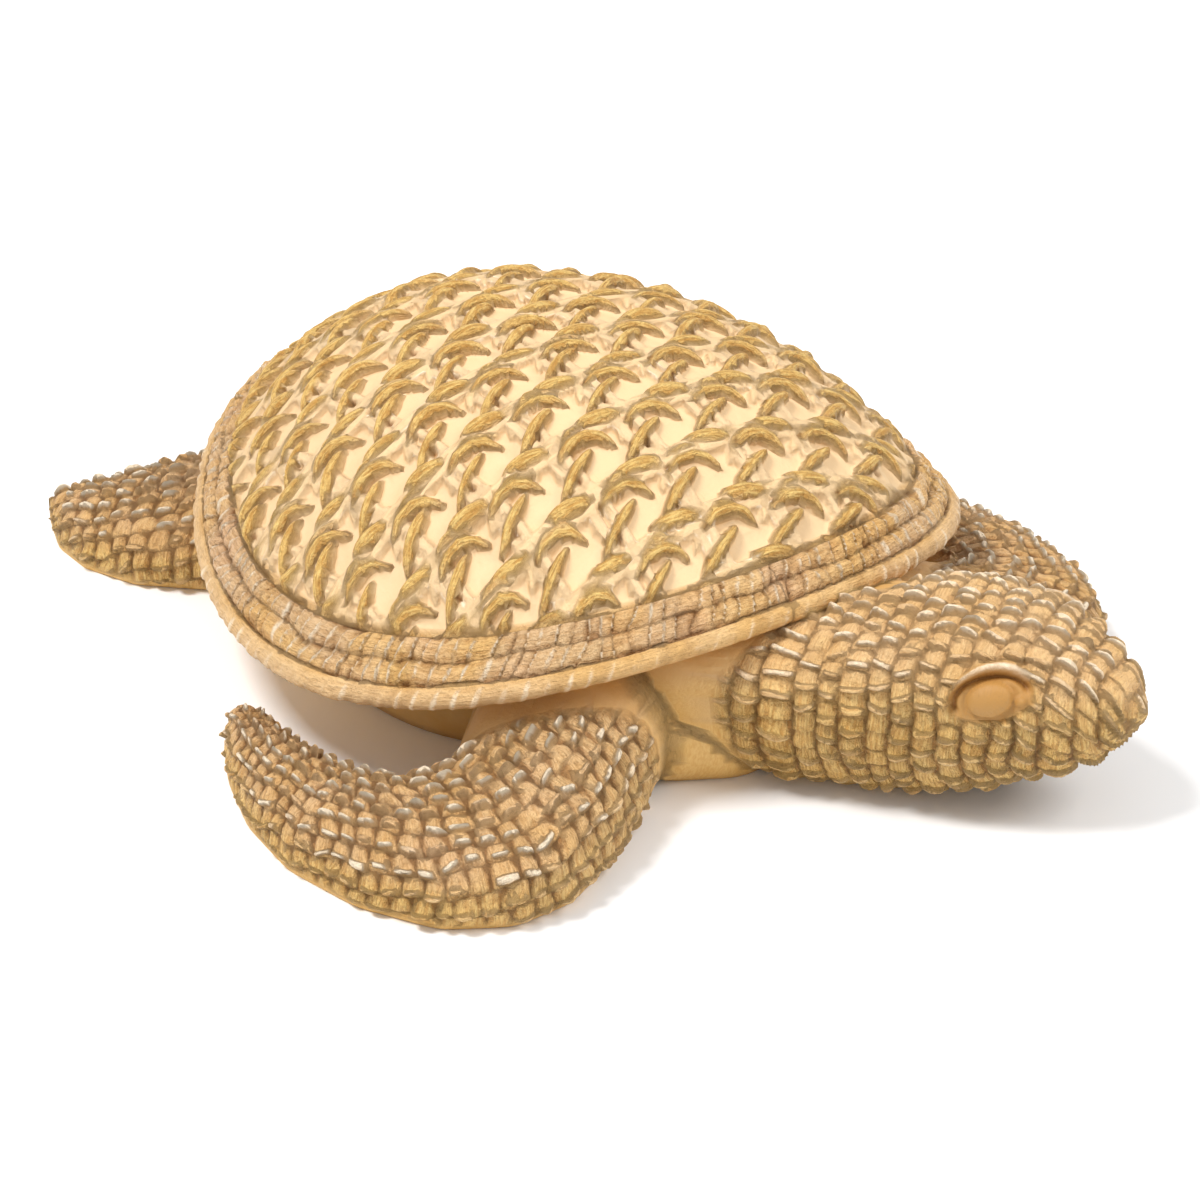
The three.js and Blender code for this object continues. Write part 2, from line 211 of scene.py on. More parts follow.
# %% Shell surface
SHELL_FRONT, SHELL_REAR, SHELL_HALF_WIDTH = 0.352 * LENGTH, 0.337 * LENGTH, 0.382 * WIDTH
SHELL_TAPER, OUTLINE_POWER = 0.63 / LENGTH, 2.03
DOME_HEIGHT, DOME_ROUNDING = 0.499 * HEIGHT, 1.09
DOME_SHOULDER, REAR_SHOULDER = 3.15, 2.15
EDGE_RISE, EDGE_LIFT, EDGE_DROOP = 0.0396, 0.000413, 0.00189
BORDER_START, REAR_BORDER_START = 0.925, 0.895


def plan_point(angle, share, outward=0.0):
    """The outline seen from above: a rounded oval whose width grows towards the front."""
    along = powered(np.cos(angle), 2 / OUTLINE_POWER)
    across = powered(np.sin(angle), 2 / OUTLINE_POWER)
    reach = np.where(along > 0, SHELL_FRONT, SHELL_REAR)
    x = along * (reach * share + outward)
    y = across * (SHELL_HALF_WIDTH * (1 + SHELL_TAPER * x) * share + outward)
    return x, y


def share_at(x, y):
    """How far out a point lies, from 0 at the crown to 1 at the edge."""
    reach = np.where(x > 0, SHELL_FRONT, SHELL_REAR)
    half_width = SHELL_HALF_WIDTH * (1 + SHELL_TAPER * x)
    total = np.abs(x / reach) ** OUTLINE_POWER + np.abs(y / half_width) ** OUTLINE_POWER
    return total ** (1 / OUTLINE_POWER)


def edge_height(x, y):
    """The edge climbs forward, lifts at both ends and droops at the sides."""
    return EDGE_RISE * x + EDGE_LIFT * x * x - EDGE_DROOP * y * y


def dome_height(x, y):
    """Edge height plus a dome that falls away more gently toward the tail."""
    share = np.minimum(share_at(x, y), 1)
    rearward = np.clip(-x / SHELL_REAR, 0, 1)
    shoulder = DOME_SHOULDER + (REAR_SHOULDER - DOME_SHOULDER) * rearward
    return edge_height(x, y) + DOME_HEIGHT * (1 - share ** shoulder) ** DOME_ROUNDING


def border_start(angle):
    """Share at which the corded border begins; it is wider at the tail."""
    rearward = np.maximum(-np.cos(angle), 0)
    return BORDER_START + (REAR_BORDER_START - BORDER_START) * rearward


print("crown", round(float(dome_height(0.0, 0.0) - GROUND), 1), "mm above the ground")

# %% [markdown]
# Cane webbing repeats like wallpaper, so each point of the shell is given its place in
# that repeat. The meshes were laid over the curve of the shell, so places are counted
# by the length of the curve and not by the distance seen from above.

# %% Place in the cane
MESH_ALONG, MESH_ACROSS = 12.7, 14.9
CROWN_MESH_ALONG, CROWN_MESH_ACROSS = 0.81, 0.99


def curve_lengths():
    """Tables of curve length: along the ridge, and from the ridge out for each x."""
    xs = np.linspace(-SHELL_REAR, SHELL_FRONT, 400) * 0.985
    heights = dome_height(xs, np.zeros_like(xs))
    ridge = np.concatenate([[0], np.cumsum(np.hypot(np.diff(xs), np.diff(heights)))])
    ridge -= np.interp(0, xs, ridge)
    ys = np.linspace(0, 80, 321)
    grid_x, grid_y = np.meshgrid(xs, ys, indexing="ij")
    steps = np.hypot(np.diff(ys)[None, :], np.diff(dome_height(grid_x, grid_y), axis=1))
    out = np.hstack([np.zeros((len(xs), 1)), np.cumsum(np.minimum(steps, 1.2), axis=1)])
    return xs, ridge, ys, out


def mesh_place(x, y):
    """Mesh coordinates (along, across) of shell points, whole numbers near the holes."""
    xs, ridge, ys, out = curve_lengths()
    along = np.interp(x, xs, ridge) / MESH_ALONG + CROWN_MESH_ALONG
    column = np.clip((x - xs[0]) / (xs[1] - xs[0]), 0, len(xs) - 1.001)
    row = np.clip(np.abs(y) / (ys[1] - ys[0]), 0, len(ys) - 1.001)
    i, j = column.astype(int), row.astype(int)
    u, v = column - i, row - j
    length = (out[i, j] * (1 - u) * (1 - v) + out[i + 1, j] * u * (1 - v)
              + out[i, j + 1] * (1 - u) * v + out[i + 1, j + 1] * u * v)
    return along, np.sign(y) * length / MESH_ACROSS + CROWN_MESH_ACROSS


first_hole, last_hole = (mesh_place(np.array([x]), np.array([0.0]))[0][0] for x in (-60.0, 60.0))
print("meshes along the ridge", round(float(last_hole - first_hole), 1))

# %% [markdown]
# One repeat of the cane holds a handful of strands. Each is a rib along a bent line: its
# height falls from the middle line to its sides like a lens and it thins to both ends,
# the way a split of straw dives under its neighbours. The highest rib wins at each point.
# Flat cream pairs run both ways, and golden splits ride over them in every mesh: a slim
# upright one, a short leaf at its foot, and an arch of three over the next hole. Curves
# with a bevel could be woven instead, but a casting has no loose strands, only relief.

# %% Strands of one mesh
# corners of the line (along, across) in meshes, half width, height and base in mm,
# share of golden straw, and whether its ends are open
STRANDS = [
    ([(-0.62, 0.37), (0.62, 0.37)], 1.1, 0.60, 0.1, 0.0, False),
    ([(-0.62, 0.54), (0.62, 0.54)], 1.1, 0.75, 0.1, 0.0, False),
    ([(0.50, -0.60), (0.49, 0.60)], 1.1, 0.90, 0.2, 0.1, False),
    ([(0.67, -0.60), (0.67, 0.60)], 1.1, 0.80, 0.2, 0.1, False),
    ([(-0.38, 0.62), (-0.20, 0.36), (-0.02, 0.24)], 1.0, 0.60, 0.0, 0.15, True),
    ([(-0.09, 0.83), (0.10, 0.49), (0.33, 0.15)], 1.2, 2.25, 0.2, 1.0, True),
    ([(0.57, 0.45), (0.50, 0.18), (0.43, -0.12)], 1.7, 2.0, 0.2, 1.0, True),
    ([(0.80, 0.38), (0.68, 0.62), (0.69, 0.85), (0.80, 0.99), (1.00, 1.08)],
     1.2, 1.9, 0.1, 0.9, True),
    ([(0.66, 0.42), (0.58, 0.66), (0.60, 0.90), (0.76, 1.10)], 0.8, 1.45, 0.0, 0.45, True),
    ([(0.60, 0.60), (0.52, 0.78), (0.53, 1.00)], 0.6, 1.55, 0.0, 0.7, True),
]
PINS = [(0.24, 0.455), (0.74, 0.45)]
PIN_RADIUS, PIN_DEPTH, PINS_LEFT_OUT = 0.55, 1.1, 0.35
HOLE_DEPTH, WANDER, BOX_MARGIN = 0.75, 0.08, 0.8


def along_line(px, py, corners):
    """Distance to a bent line, the length walked to the nearest spot, and the signed side."""
    best = np.full(px.shape, 1e9)
    place, side = np.zeros(px.shape), np.zeros(px.shape)
    walked = 0.0
    for (ax, ay), (bx, by) in zip(corners[:-1], corners[1:]):
        dx, dy = bx - ax, by - ay
        size = math.hypot(dx, dy)
        t = np.clip(((px - ax) * dx + (py - ay) * dy) / size ** 2, 0, 1)
        off = np.hypot(px - ax - t * dx, py - ay - t * dy)
        closer = off < best
        best = np.where(closer, off, best)
        place = np.where(closer, walked + t * size, place)
        side = np.where(closer, ((px - ax) * dy - (py - ay) * dx) / size, side)
        walked += size
    return best, place, side, walked


def cane_relief(along, across):
    """Height and marks of the cane: over all strands of the nearby meshes, the highest."""
    height = np.full(along.shape, -HOLE_DEPTH)
    gold, edge = np.zeros(along.shape), np.zeros(along.shape)
    grain = np.zeros(along.shape + (3,))
    home_i, home_j = np.round(along), np.round(across)
    for number, (line, half, top, base, straw, open_ends) in enumerate(STRANDS):
        corners = np.array(line) * (MESH_ALONG, MESH_ACROSS)
        margin = half + BOX_MARGIN
        low, high = corners.min(axis=0) - margin, corners.max(axis=0) + margin
        for step in np.ndindex(3, 3):
            ci, cj = home_i + step[0] - 1, home_j + step[1] - 1
            x = (along - ci - (scatter(ci, cj, number) - 0.5) * WANDER) * MESH_ALONG
            y = (across - cj - (scatter(ci, cj, number + 20) - 0.5) * WANDER) * MESH_ACROSS
            near = (x > low[0]) & (x < high[0]) & (y > low[1]) & (y < high[1])
            if not near.any():
                continue
            off, place, side, total = along_line(x[near], y[near], corners)
            luck = scatter(ci, cj, number + 40)[near]
            share = np.clip(place / total, 0.01, 0.99)
            thin = np.sin(math.pi * share) ** 0.5 if open_ends else np.ones_like(share)
            width = half * (0.3 + 0.7 * thin) * (0.85 + 0.3 * luck)
            lens = np.clip(1 - (off / width) ** 2, 0, 1)
            roundness = 0.5 if straw > 0.3 else 0.2
            tallest = top * (0.8 + 0.4 * luck) * (0.2 + 0.8 * thin)
            crest = base + (tallest - base) * lens ** roundness
            higher = (lens > 0) & (crest > height[near])
            tag = scatter(ci, cj, number + 60)[near] * 40 + number * 7
            height[near] = np.where(higher, crest, height[near])
            gold[near] = np.where(higher, straw * (0.35 + 0.65 * thin), gold[near])
            edge[near] = np.where(higher, 1 - lens, edge[near])
            run = np.stack([place, side, tag], axis=1)
            grain[near] = np.where(higher[:, None], run, grain[near])
    floor = height < 0.05 - HOLE_DEPTH
    flat = np.stack([along * 3, across * 3, np.full(along.shape, 90.0)], axis=-1)
    grain[floor] = flat[floor]
    pit = np.zeros(along.shape)
    for number, (pin_i, pin_j) in enumerate(PINS):
        ci, cj = np.floor(along), np.floor(across)
        away = np.hypot((along - ci - pin_i) * MESH_ALONG, (across - cj - pin_j) * MESH_ACROSS)
        there = scatter(ci, cj, 80 + number) > PINS_LEFT_OUT
        pit = np.maximum(pit, there * np.exp(-(away / PIN_RADIUS) ** 2))
    height = height - PIN_DEPTH * pit * (gold < 0.5)
    return height, gold, edge, floor, pit, grain


print(len(STRANDS), "strands and", len(PINS), "pin holes in each mesh")

# %% [markdown]
# The shell is laid out as rings from the crown outwards: the caned dome, the band with its
# two loose cords, the rolled rim, and then the plain belly the turtle rests on. Each zone
# is a slice of those rings, so its relief can be worked out by itself and laid in place.
# The rings are close where the relief is fine and far apart on the belly.

# %% Shell rings
ANGLES = 1280
CROWN_RINGS, BAND_RINGS, RIM_RINGS = 190, 28, 24
DOME = slice(0, CROWN_RINGS)
BAND = slice(DOME.stop, DOME.stop + BAND_RINGS)
RIM = slice(BAND.stop, BAND.stop + RIM_RINGS)
BELLY = slice(RIM.stop, None)
RIM_REACH, RIM_INSET, RIM_DROP, RIM_HALF = 2.3, 0.4, 1.75, 2.0
UNDER_RIM = -3.6
# share of the way out, height from the edge, share of the way down to the ground
BELLY_PROFILE = [(0.95, -3.2, 0), (0.86, UNDER_RIM, 0), (0.8, UNDER_RIM, 0.22),
                 (0.74, UNDER_RIM, 0.6), (0.7, UNDER_RIM, 0.9), (0.68, UNDER_RIM, 1),
                 (0.3, UNDER_RIM, 1)]


def shell_rings(angle, start):
    """Ring points: dome and band by share, the rim as an arc, the belly down to the ground."""
    crown = np.linspace(0, 1, CROWN_RINGS + 1)[1:, None] * start
    band = np.linspace(0, 1, BAND_RINGS + 1)[1:, None]
    share = np.vstack([crown, start + (1 - start) * band])
    x, y = plan_point(angle, share)
    top = np.stack([x, y, dome_height(x, y)], axis=2)
    bend = np.radians(np.linspace(80, -90, RIM_RINGS))[:, None]
    x, y = plan_point(angle, 1.0, RIM_INSET + (RIM_REACH - RIM_INSET) * np.cos(bend))
    rim = np.stack([x, y, edge_height(x, y) - RIM_DROP + RIM_HALF * np.sin(bend)], axis=2)
    share, lift, drop = (np.array(BELLY_PROFILE)[:, i:i + 1] for i in range(3))
    x, y = plan_point(angle, share)
    under = np.stack([x, y, (edge_height(x, y) + lift) * (1 - drop) + GROUND * drop], axis=2)
    return np.vstack([top, rim, under])


def lay(zone, height, grain, **marks):
    """Writes the relief, the run of the fibres and the marks of one zone into the shell."""
    shell_height[zone], shell_grain[zone] = height, grain
    for label, value in marks.items():
        shell_marks[label][zone] = value


shell_angle = np.linspace(0, 2 * math.pi, ANGLES, endpoint=False)
shell_start = border_start(shell_angle)
shell_base = shell_rings(shell_angle, shell_start)
shell_normal = ring_normals(shell_base)
shell_normal *= np.sign(shell_normal[DOME, :, 2].mean())
shell_height, shell_grain = np.zeros(shell_base.shape[:2]), np.zeros(shell_base.shape)
shell_marks = {label: np.zeros(shell_base.shape[:2]) for label in MARKS}
print(len(shell_base), "rings of", ANGLES, "points")

# %% [markdown]
# The cane goes on the dome. It fades out just before the border, where the real strands are
# tucked under the first cord. The sides of a straw are steeper than the rings are close,
# which would leave jags, so each height is blended once with its neighbours. The marks
# follow the same strands: gold on the straw, cream and bare resin in the holes, brown at
# the feet of the strands and in the pin holes, and a thin white line on flat strands.

# %% Cane on the dome
SHELL_REACH, TUCK_WIDTH = 68, 1.1
FLAT_STRAW = 0.3


def softened(height):
    """Half of each height and half of its neighbours' mean, along the rings and across."""
    for axis in (0, 1):
        after, before = np.roll(height, -1, axis=axis), np.roll(height, 1, axis=axis)
        height = 0.5 * height + 0.25 * (after + before)
    return height


def lay_cane():
    """Cane relief times a fade, which runs from 1 to 0 over the last millimetre."""
    spot = shell_base[DOME, :, :2]
    cane, gold, edge, floor, pit, grain = cane_relief(*mesh_place(spot[..., 0], spot[..., 1]))
    share = np.linspace(0, 1, CROWN_RINGS + 1)[1:, None] * shell_start
    fade = smooth_step(0.0, TUCK_WIDTH, (shell_start - share) * SHELL_REACH)
    flat = gold < FLAT_STRAW
    line = smooth_step(0.35, 0.6, edge) * smooth_step(0.95, 0.75, edge)
    lay(DOME, softened(cane) * fade + 0.1 * (1 - fade), grain,
        gold=gold * fade,
        cream=np.clip(1 - 1.3 * gold, 0, 1) * (0.35 + 0.65 * fade),
        bare=np.where(floor, 1.0, 0.85 * flat) * fade,
        dark=edge ** 2 * (0.3 + 0.6 * gold) * ~floor + pit + 0.3 * (1 - fade),
        wash=0.7 * line * flat * ~floor * fade * speckle(spot, 6.0, 3))


lay_cane()
lowest, highest = shell_height.min(), shell_height.max()
print("cane relief from", round(float(lowest), 2), "to", round(float(highest), 2), "mm")

# %% [markdown]
# The border is cord laid side by side and whipped with thread, so it shows rows of small
# pillows. Two cords of loose straw lie on the edge of the dome. A cord's relief is a
# rounded ridge pinched at every wrap, with the thread standing up again in the pinch.
# The wraps are counted along the edge, and soft noise moves them a little, so that they
# slant and bunch as they do when a hand winds them.

# %% Cords on the band
CORD_ROWS, WRAP_PITCH, WRAP_SLANT = 2, 2.9, 0.45
CORD_RISE, THREAD_RISE, CRUMB_RISE = 1.55, 0.8, 0.75


def cord_relief(count, row, thread_width):
    """Pillow and thread of a whipped cord, whose wraps stand at the whole numbers of count."""
    cell = np.floor(count)
    part = count - cell - 0.5
    pillow = dome_arc(part, 0.54) * (0.65 + 0.6 * scatter(cell, row, 3))
    thread = np.exp(-((np.abs(part) - 0.5) / thread_width) ** 2)
    return pillow, thread, cell


def lay_cords(turn, whole):
    """Ridge across the band times pillow along it, plus thread and crumbs of loose straw."""
    spot = shell_base[BAND, :, :2]
    out = np.linspace(0, 1, BAND_RINGS + 1)[1:, None] * CORD_ROWS + np.zeros(ANGLES)
    out = out + 0.3 * (speckle(spot, 5.0, 2) - 0.5)
    row = np.clip(np.floor(out), 0, CORD_ROWS - 1)
    inside = out - row - 0.5
    wander = 1.1 * (speckle(spot, 5.0, 5) - 0.5) + row * 0.37 + inside * WRAP_SLANT
    pillow, thread, cell = cord_relief(turn * round(whole / WRAP_PITCH) + wander, row, 0.13)
    cord = dome_arc(inside, 0.54)
    ragged = speckle(spot, 0.9, 8) + 0.6 * speckle(spot, 1.9, 9) - 0.8
    raised = thread * (scatter(cell, row, 6) > 0.35)
    run = turn * whole + np.zeros_like(inside)
    lay(BAND, -0.25 + cord * (CORD_RISE * pillow + THREAD_RISE * raised) + CRUMB_RISE * ragged,
        np.stack([run, inside * 3.0, row * 11 + scatter(cell, row, 5) * 9], axis=2),
        wash=raised * 0.65 * cord,
        dark=np.clip(1.25 - 1.9 * cord * pillow - ragged, 0, 1) * (1 - 0.8 * raised),
        rose=0.25 + 0.6 * speckle(spot, 6.0, 12),
        gold=0.4 * speckle(spot, 4.0, 13),
        cream=0.7 * smooth_step(0.5, 0.8, speckle(spot, 7.0, 14)))


edge_girth, edge_whole = girths(shell_base[BAND.stop - 1:BAND.stop, :, :2])
edge_length = edge_whole[0, 0]
edge_turn = edge_girth[0] / edge_length
lay_cords(edge_turn, edge_length)
print(round(edge_length / WRAP_PITCH), "wraps on each of", CORD_ROWS, "cords")

# %% [markdown]
# The rim is one more cord, smoother and with wider wraps. Its section is an arc, so its
# wraps can slant across the arc. Beside the neck it lies flatter, as the photo shows, and
# its underside is bare resin, because nobody decorates what faces the table.

# %% The rim
RIM_WRAP_PITCH, RIM_SLANT = 3.7, 0.55


def lay_rim(turn, whole):
    """Pillow and thread along the edge, faded by a sine across the arc of the section."""
    around = np.linspace(0, 1, RIM_RINGS)[:, None] + np.zeros(ANGLES)
    neck = smooth_step(0.80, 0.93, np.cos(shell_angle)) * (np.sin(shell_angle) < 0.25)
    wander = 0.5 * (speckle(shell_base[RIM, :, :2], 7.0, 9) - 0.5) + RIM_SLANT * around
    count = turn * round(whole / RIM_WRAP_PITCH) + wander
    pillow, thread, cell = cord_relief(count, 5, 0.16)
    strong = 0.35 + 0.65 * scatter(np.round(count), 5, 2)
    shown = np.sin(math.pi * np.clip(around * 1.05, 0, 1)) ** 0.5
    lumps = 0.4 * (speckle(shell_base[RIM], 1.4, 3) - 0.5)
    shade = smooth_step(0.5, 0.9, around) * 0.45
    run = turn * whole + np.zeros_like(around)
    lay(RIM, shown * (0.6 * pillow - 0.4 + 0.6 * thread * strong + lumps) * (1 - 0.6 * neck),
        np.stack([run, around * 6.0, cell * 0.7], axis=2),
        wash=thread * strong * 0.7 * shown,
        cream=0.5 * shown * (1 - neck),
        rose=0.35,
        dark=np.clip(0.8 * (1 - pillow - thread) + shade, 0, 1),
        bare=0.3 + 0.6 * smooth_step(0.55, 0.8, around))


lay_rim(edge_turn, edge_length)
print(round(edge_length / RIM_WRAP_PITCH), "wraps on a rim", round(edge_length), "mm long")

# %% [markdown]
# The belly stays plain. With its marks in place the shell is a finished skin: each point of
# the smooth rings moves out along its normal by the relief of its zone.

# %% Finished shell
lay(BELLY, 0.0, 0.0, bare=1.0, dark=0.3, gold=0.35)
shell = skin_object(
    "shell", (0, 0, DOME_HEIGHT - 0.5), shell_base + shell_normal * shell_height[..., None],
    (0, 0, GROUND), shell_marks, shell_grain)

# %% [markdown]
# Head and flippers wear a coarser cloth: bundles of straw held down by short stitches.
# Each bundle starts narrow and low just behind one stitch and swells towards the next,
# where the stitch lies over it as a small rounded bar; behind the bar it drops steeply.
# One cell of that cloth is a function of the place inside the cell, so the same cloth can
# be laid round the head in columns and along a flipper in rows.

# %% One cell of the cloth
STITCH_PLACE, STITCH_HALF, STITCHES_LEFT_OUT = 0.72, 0.125, 0.12


def cloth_cell(side, part, column, row, stitch_length, salt=0):
    """Bundle swelling with part, 0 to 1 along it, plus a bar; side is -0.5 to 0.5 over it."""
    luck, size, show, sway = (scatter(column, row, salt + k) for k in (1, 2, 3, 4))
    stitch_at = STITCH_PLACE + (luck - 0.5) * 0.2 + 0.04 * (1 - (2 * side) ** 2)
    rise = smooth_step(-0.25, 1.0, part / stitch_at)
    behind = smooth_step(STITCH_HALF * 0.8, STITCH_HALF * 1.8, part - stitch_at)
    half = 0.30 + (0.1 + 0.14 * sway) * rise
    bundle = dome_arc(side, half) * (0.35 + 0.7 * rise * (0.6 + 0.6 * size)) * (1 - 0.8 * behind)
    off = side - (sway - 0.5) * 0.14
    tilt = (scatter(column, row, salt + 5) - 0.5) * 0.6 * off
    bar = dome_arc(part - stitch_at + tilt, STITCH_HALF * (0.8 + 0.4 * size))
    bar = bar * dome_arc(off, stitch_length * (0.8 + 0.35 * luck)) ** 0.7
    bar = bar * (show > STITCHES_LEFT_OUT)
    height = -0.75 + 0.9 * bundle + bar * (0.75 + 0.5 * luck)
    gap = np.clip(1 - 2.3 * bundle - 1.6 * bar, 0, 1)
    wash = bar ** 0.6 * (0.3 + 0.7 * smooth_step(0.3, 0.6, show))
    gold = np.clip(bundle, 0, 1) * (1 - np.clip(bar * 1.5, 0, 1)) * rise
    return height, wash, gap, gold, bar > 0.15


def cloth_grain(across, along, on_bar, column, row):
    """Fibres run along the bundles, and on a stitch they run the other way."""
    tag = scatter(column, row, 9) * 60
    plain = np.stack([along, across, tag], axis=-1)
    turned = np.stack([across, along, tag + 7], axis=-1)
    return np.where(on_bar[..., None], turned, plain)


print("stitch at", STITCH_PLACE, "of each cell")

# %% [markdown]
# A limb is given by a few stations, as a boat is by its frames. They are read at even steps
# and softened, which fairs the line. Relief then fades to nothing where the shell covers
# the limb and where the limb lies on the table, so that joints are clean and soles flat.

# %% Paths and limbs
SQUARENESS = 0.85
SHELL_EDGE, SOLE = (0.98, 1.03), (GROUND + 0.5, GROUND + 3.0)
TUCKED_IN = 0.3


def squared_circle(sides):
    """Cosine and sine round a circle, each to a power under 1, which squares it a little."""
    angle = np.linspace(0, 2 * math.pi, sides, endpoint=False)[None, :]
    return powered(np.cos(angle), SQUARENESS), powered(np.sin(angle), SQUARENESS)


def even_path(stations, rings, smoothing):
    """Values between stations, read at even steps and softened by a running mean."""
    stations = np.asarray(stations, float)
    steps = np.hypot(*np.diff(stations[:, :2], axis=0).T)
    where = np.concatenate([[0], np.cumsum(steps)])
    places = np.linspace(0, where[-1], rings)
    values = np.stack([np.interp(places, where, col) for col in stations.T], axis=1)
    width = max(int(rings * smoothing), 1)
    kernel = np.hanning(2 * width + 3)[1:-1]
    kernel /= kernel.sum()
    ends = np.vstack([
        2 * values[0] - values[width:0:-1], values, 2 * values[-1] - values[-2:-width - 2:-1]])
    soft = np.stack([np.convolve(col, kernel, "valid") for col in ends.T], axis=1)
    return soft, places


def limb_skin(name, start, base, end, relief, marks, grain):
    """Adds relief to a limb, plain where the shell covers it and flat on the ground."""
    normal = ring_normals(base)
    centre = base.mean(axis=1, keepdims=True)
    normal *= np.sign(np.einsum("ijk,ijk->ij", normal, base - centre))[..., None]
    open_air = smooth_step(*SHELL_EDGE, share_at(base[..., 0], np.abs(base[..., 1])))
    off_ground = smooth_step(*SOLE, base[..., 2])
    keep = open_air * off_ground
    # Painted light: dry-brush and rose fade on downward faces and gold is added there, as lit
    # tops and shaded undersides; the dry-brush and rose themselves are real paint.
    lit_upward = smooth_step(0.05, 0.75, normal[..., 2])
    for label in ("wash", "rose"):
        marks[label] = marks[label] * (0.2 + 0.8 * lit_upward) * keep
    marks["gold"] = marks["gold"] * keep + 0.55 * (1 - lit_upward)
    marks["dark"] = marks["dark"] * keep + 0.25 * (1 - keep)
    marks["bare"] = np.maximum(marks.get("bare", 0), 1 - keep)
    height = relief * keep - TUCKED_IN * (1 - open_air)
    rings = base + normal * height[..., None]
    rings[..., 2] = np.maximum(rings[..., 2], GROUND)
    return skin_object(name, start, rings, end, marks, grain)


print("limbs are bare inside", SHELL_EDGE[0], "of the way to the shell's edge")

# %% [markdown]
# Each eye is a ball in a hollow, under a heavy lid fold, with a small bead in its corner.
# All of these are ovals in one tilted plane beside the cheek, so distance from the middle,
# counted in oval radii, gives every one of them: the ball is a dome inside its oval, and
# fold, crease and hollow are lines that follow theirs. Separate balls would be easier to
# place, but here eye and skin are one surface with a soft border.

# %% Eyes
EYE = (103.3, 29.1, -2.0)
EYE_HEADING, EYE_TURN = math.atan2(5, 10), math.radians(16)
# half length and half height of each oval in mm
PATCH_OVAL, PATCH_BELOW, BALL_OVAL = (7.6, 6.6), 4.0, (3.9, 3.0)
CREASE_OVAL, LID_OVAL, HOLLOW_OVAL = (6.3, 4.0), (7.4, 5.3), (4.3, 3.4)
BEAD_PLACE, BEAD_RADIUS = (4.9, -1.2), 0.95
BALL_RISE, HOLLOW_DEPTH, CREASE_DEPTH, LID_RISE = 1.7, 0.5, 1.9, 1.5


def oval_line(a, h, oval, at, width):
    """A soft line along an oval: 1 where the distance in oval radii is at, 0 away from it."""
    return np.exp(-((np.hypot(a / oval[0], h / oval[1]) - at) / width) ** 2)


def eye_relief(points):
    """Height of the eye on each cheek, the share of bare skin, the painted shade of crease and
    hollow, and the lid.
    """
    c, s = math.cos(EYE_HEADING), math.sin(EYE_HEADING)
    level = (points[..., 0] - EYE[0]) * c + (points[..., 1] - EYE[1]) * s
    out = -(points[..., 0] - EYE[0]) * s + (points[..., 1] - EYE[1]) * c
    lift = points[..., 2] - EYE[2]
    a = level * math.cos(EYE_TURN) + lift * math.sin(EYE_TURN)
    h = -level * math.sin(EYE_TURN) + lift * math.cos(EYE_TURN)
    cheek = smooth_step(5, 8, np.abs(out))
    raised = h + 0.5
    reach = np.hypot(a / PATCH_OVAL[0], raised / np.where(raised > 0, PATCH_OVAL[1], PATCH_BELOW))
    patch = 1 - smooth_step(0.86, 1.06, reach)
    ball = dome_arc(np.hypot(a / BALL_OVAL[0], h / BALL_OVAL[1]), 1.0)
    brow = h - 0.12 * a
    crease = oval_line(a, h, CREASE_OVAL, 1.0, 0.11) * smooth_step(-1.6, 0.6, brow)
    lid = oval_line(a, h, LID_OVAL, 0.97, 0.13) * smooth_step(-0.4, 1.8, brow)
    hollow = oval_line(a, h, HOLLOW_OVAL, 1.0, 0.10)
    bead = dome_arc(np.hypot(a - BEAD_PLACE[0], h - BEAD_PLACE[1]), BEAD_RADIUS)
    fall = 0.6 * smooth_step(2.5, 5.5, -h)
    height = (-0.2 - fall + BALL_RISE * ball - HOLLOW_DEPTH * hollow - CREASE_DEPTH * crease
              + LID_RISE * lid + bead)
    # Painted shade: the crease and the ring of hollow round the ball are painted dark as well as
    # carved.
    dark = np.clip(1.5 * crease + 0.5 * hollow * (1 - ball), 0, 1)
    return height, patch * cheek, dark * cheek, lid * cheek


print("eyes at", [round(float(v), 4) for v in to_frame(EYE)])

# %% [markdown]
# Neck and head are upright ovals strung on a path that bends to the turtle's left.
# A power of the half widths is what changes evenly along the path, which rounds the beak.
# The cloth lies round the head in columns, and its bundles run down from the ridge.
# A subdivided box could give the form, but only an even grid can carry cells of cloth.

# %% Head and chest
# x, y, z, half width, height above, depth below
HEAD_STATIONS = [
    (36, 0, -12, 30, 12, 20), (54, 4, -11, 26.5, 12, 21), (70, 11, -10, 21.5, 13, 22),
    (85, 19.5, -8.5, 19, 14.5, 22), (96, 25.5, -7, 18.5, 15, 20.5), (105, 30.5, -6, 16.5, 13, 17),
    (112.5, 34.5, -6.5, 13, 10.5, 12.5), (118, 38, -7.5, 8.5, 7.5, 8), (122.5, 40.5, -8, 0, 0, 0)]
# The chest fills the space between neck and belly
CHEST_STATIONS = [
    (10, 0, -19, 38, 12, 15), (44, 0, -19, 36, 12, 15), (57, 1, -20, 28, 10, 14),
    (65, 3, -21, 18, 6, 12), (71, 5, -24, 0, 0, 0)]
HEAD_COLUMN, HEAD_PITCH = 4.3, 4.1
HEAD_SIDES, HEAD_RINGS, HEAD_POWER = 340, 250, 1.6
NECK_HOLLOW = 2.2


